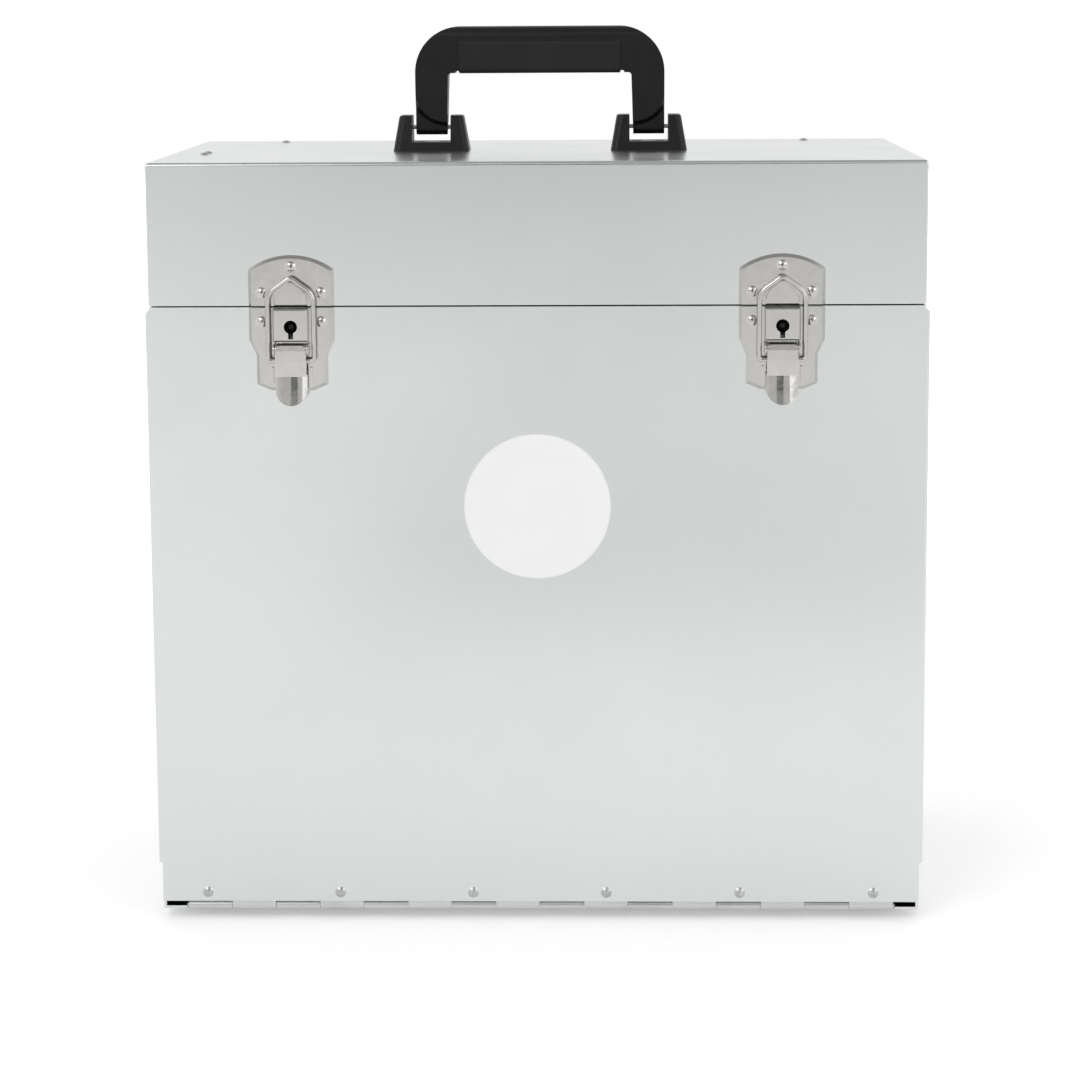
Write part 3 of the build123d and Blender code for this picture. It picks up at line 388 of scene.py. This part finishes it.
def plane_mesh(name, half_x, half_y):
    mesh = bpy.data.meshes.new(name)
    corners = [(-half_x, -half_y, 0), (half_x, -half_y, 0), (half_x, half_y, 0), (-half_x, half_y, 0)]
    mesh.from_pydata(corners, [], [(0, 1, 2, 3)])
    thing = bpy.data.objects.new(name, mesh)
    bpy.context.scene.collection.objects.link(thing)
    return thing


def make_floor():
    """A pale floor that reads white where it is lit, keeps the shadow and fades into the background."""
    floor = plane_mesh("floor", FLOOR_HALF, FLOOR_HALF)
    floor.location = (0, 0, cad_box[0].z - FLOOR_GAP)
    material = bpy.data.materials.new("floor")
    material.use_nodes = True
    tree = material.node_tree
    tree.nodes.clear()
    base = tree.nodes.new("ShaderNodeBsdfDiffuse")
    base.inputs["Color"].default_value = (FLOOR_TONE, FLOOR_TONE, FLOOR_TONE, 1)
    lift = tree.nodes.new("ShaderNodeEmission")
    lift.inputs["Color"].default_value = (1, 1, 1, 1)
    place = tree.nodes.new("ShaderNodeTexCoord")
    far = tree.nodes.new("ShaderNodeVectorMath")
    far.operation = "LENGTH"
    tree.links.new(place.outputs["Object"], far.inputs[0])
    fade = ramp(tree, far.outputs["Value"], FADE_START, FADE_END, FLOOR_LIFT, 1.0)
    path = tree.nodes.new("ShaderNodeLightPath")
    direct = maths(tree, "MAXIMUM", path.outputs["Is Camera Ray"], path.outputs["Is Transmission Ray"])
    mirrored = maths(tree, "MULTIPLY", path.outputs["Is Glossy Ray"], FLOOR_MIRROR)
    seen = maths(tree, "MAXIMUM", maths(tree, "MULTIPLY", direct, fade), mirrored)
    tree.links.new(seen, lift.inputs["Strength"])
    both = tree.nodes.new("ShaderNodeAddShader")
    tree.links.new(base.outputs[0], both.inputs[0])
    tree.links.new(lift.outputs[0], both.inputs[1])
    out = tree.nodes.new("ShaderNodeOutputMaterial")
    tree.links.new(both.outputs[0], out.inputs["Surface"])
    floor.data.materials.append(material)


def make_world():
    """A plain studio: white where the camera sees it, even as light, and in mirrors brightest at the sides."""
    world = bpy.data.worlds.new("studio")
    bpy.context.scene.world = world
    world.use_nodes = True
    tree = world.node_tree
    background = tree.nodes["Background"]
    background.inputs["Color"].default_value = (1, 1, 1, 1)
    path = tree.nodes.new("ShaderNodeLightPath")
    place = tree.nodes.new("ShaderNodeTexCoord")
    parts = tree.nodes.new("ShaderNodeSeparateXYZ")
    tree.links.new(place.outputs["Generated"], parts.inputs[0])
    front = ramp(tree, parts.outputs["Y"], *FRONT_TURN, ROOM_FRONT, ROOM_SIDE)
    back = ramp(tree, parts.outputs["Y"], *BACK_TURN, 1.0, ROOM_BACK / ROOM_SIDE)
    ceiling = ramp(tree, parts.outputs["Z"], *TOP_TURN, 1.0, ROOM_TOP)
    mirror = tree.nodes.new("ShaderNodeMix")
    mirror.inputs["A"].default_value = ROOM_LIGHT
    tree.links.new(path.outputs["Is Glossy Ray"], mirror.inputs["Factor"])
    walls = maths(tree, "MULTIPLY", front, back)
    tree.links.new(maths(tree, "MULTIPLY", walls, ceiling), mirror.inputs["B"])
    seen = tree.nodes.new("ShaderNodeMix")
    seen.inputs["B"].default_value = 1.0
    tree.links.new(path.outputs["Is Camera Ray"], seen.inputs["Factor"])
    tree.links.new(mirror.outputs["Result"], seen.inputs["A"])
    tree.links.new(seen.outputs["Result"], background.inputs["Strength"])


def area_light(name, place, aim, size, power):
    data = bpy.data.lights.new(name, "AREA")
    data.shape = "RECTANGLE"
    data.size, data.size_y = size
    data.energy = power
    lamp = bpy.data.objects.new(name, data)
    lamp.location = place
    lamp.rotation_euler = (Vector(aim) - Vector(place)).to_track_quat("-Z", "Y").to_euler()
    bpy.context.scene.collection.objects.link(lamp)
    return lamp


def make_card(name, place, aim, half_x, half_y, tone):
    """A card of one tone that only reflections see, as a studio has round bright metal."""
    sheet = plane_mesh(name, half_x, half_y)
    sheet.location = place
    sheet.rotation_euler = (Vector(aim) - Vector(place)).to_track_quat("Z", "Y").to_euler()
    sheet.visible_camera = False
    sheet.visible_diffuse = False
    sheet.visible_shadow = False
    sheet.visible_transmission = False
    material = bpy.data.materials.new(name)
    material.use_nodes = True
    tree = material.node_tree
    tree.nodes.clear()
    glow = tree.nodes.new("ShaderNodeEmission")
    glow.inputs["Color"].default_value = (tone, tone, tone, 1)
    out = tree.nodes.new("ShaderNodeOutputMaterial")
    tree.links.new(glow.outputs[0], out.inputs["Surface"])
    sheet.data.materials.append(material)


def make_lights():
    area_light("key", (-1.6, -2.6, 2.4), (0, 0, 0.25), (1.8, 1.8), 26.0)
    area_light("fill", (2.2, -2.2, 1.4), (0, 0, 0.25), (1.6, 1.6), 10.0)
    overhead = area_light("overhead", (0, 0.4, 2.8), (0, 0, 0.3), (2.2, 2.2), 16.0)
    overhead.visible_glossy = False
    make_card("card_front", (0.0, -1.6, 0.78), (0.0, 0.0, 0.78), 0.33, 0.27, 0.02)
    make_card("card_low", (0.1, -1.3, 0.012), (0.1, -1.3, 1.0), 0.3, 0.45, 0.8)


make_camera()
dress_nodes(make_materials())
soften_nodes()
make_floor()
make_world()
make_lights()
bpy.context.scene.view_settings.view_transform = "Standard"

bpy.context.view_layer.update()
